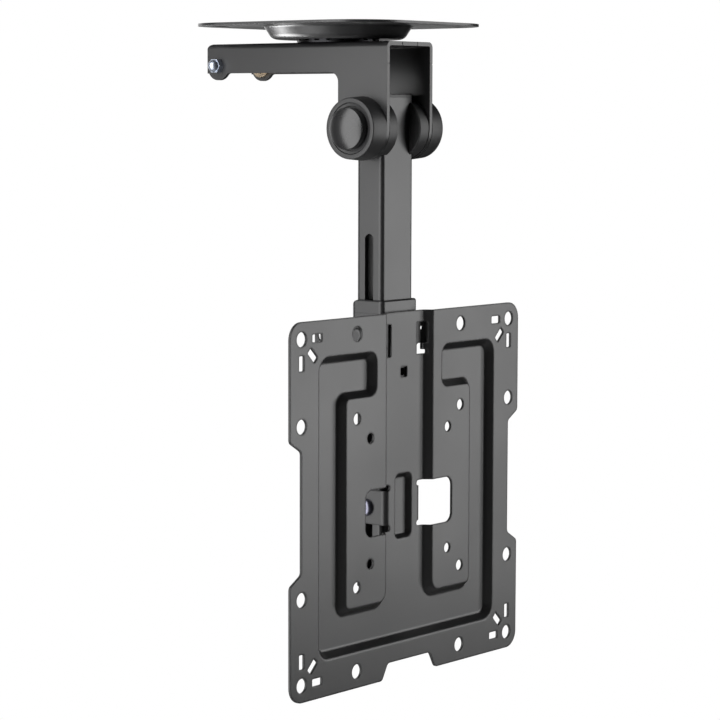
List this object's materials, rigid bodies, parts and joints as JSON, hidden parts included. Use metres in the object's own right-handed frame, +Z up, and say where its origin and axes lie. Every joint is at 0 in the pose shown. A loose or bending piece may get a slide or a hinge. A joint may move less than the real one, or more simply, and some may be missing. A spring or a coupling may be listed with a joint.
{
  "type": "tv ceiling mount",
  "caption": "Folding ceiling mount for a small flat television: swivel plate, bent arm, fold-up pole and a pressed screen plate that slides on it.",
  "frame": {"origin": "where the swivel axis meets the ceiling, on the ceiling plate's upper face", "axes": "+Z up along the swivel axis into the ceiling; the screen faces -Y; the arm's free end points to +Y; +X is to the right seen from the screen side"},
  "size_m": [0.22, 0.1624, 0.3916],
  "materials": {
    "powder_coat": "matte powder coat, fine grain",
    "black_plastic": "satin moulded plastic",
    "zinc": "bright zinc plating",
    "yellow_zinc": "yellow zinc plating"
  },
  "bodies": {
    "ceiling": {"ceiling_plate": "powder_coat", "swivel_bolt": "zinc", "swivel_lower_washer": "black_plastic", "swivel_steel_washer": "zinc", "swivel_nut": "zinc"},
    "arm": {"arm_bracket": "powder_coat", "swivel_thrust_washer": "zinc", "end_bolt": "zinc", "end_cap_nut": "zinc", "end_spacer": "yellow_zinc", "pivot_bolt": "zinc", "pivot_nut": "zinc", "pivot_washers": "zinc", "pivot_cover_right": "black_plastic", "pivot_cover_left": "black_plastic", "pivot_cap_right": "black_plastic", "pivot_cap_left": "black_plastic"},
    "pole": {"pole_tube": "powder_coat", "pole_top_plug": "black_plastic", "pole_bottom_plug": "black_plastic", "pivot_cheek_right": "black_plastic", "pivot_cheek_left": "black_plastic", "pivot_spacer": "zinc"},
    "carriage": {"sleeve": "powder_coat", "sleeve_collar": "powder_coat", "sleeve_hanger": "powder_coat", "screen_plate": "powder_coat", "height_screw": "zinc", "height_nut": "zinc", "latch_screws": "powder_coat"},
    "latch": {"latch": "powder_coat"}
  },
  "joints": [
    {"name": "swivel", "type": "hinge", "parent": "ceiling", "child": "arm", "pos_m": [0, 0, -0.0113], "axis": [0, 0, 1], "continuous": true},
    {"name": "fold", "type": "hinge", "parent": "arm", "child": "pole", "pos_m": [0, -0.0367, -0.0626], "axis": [1, 0, 0], "range_deg": [0, 90]},
    {"name": "height", "type": "slide", "parent": "pole", "child": "carriage", "axis": [0, 0, -1], "range_m": [-0.065, 0.03]},
    {"name": "latch_turn", "type": "hinge", "parent": "carriage", "child": "latch", "pos_m": [0, -0.0314, -0.1861], "axis": [1, 0, 0], "range_deg": [0, 14]}
  ]
}
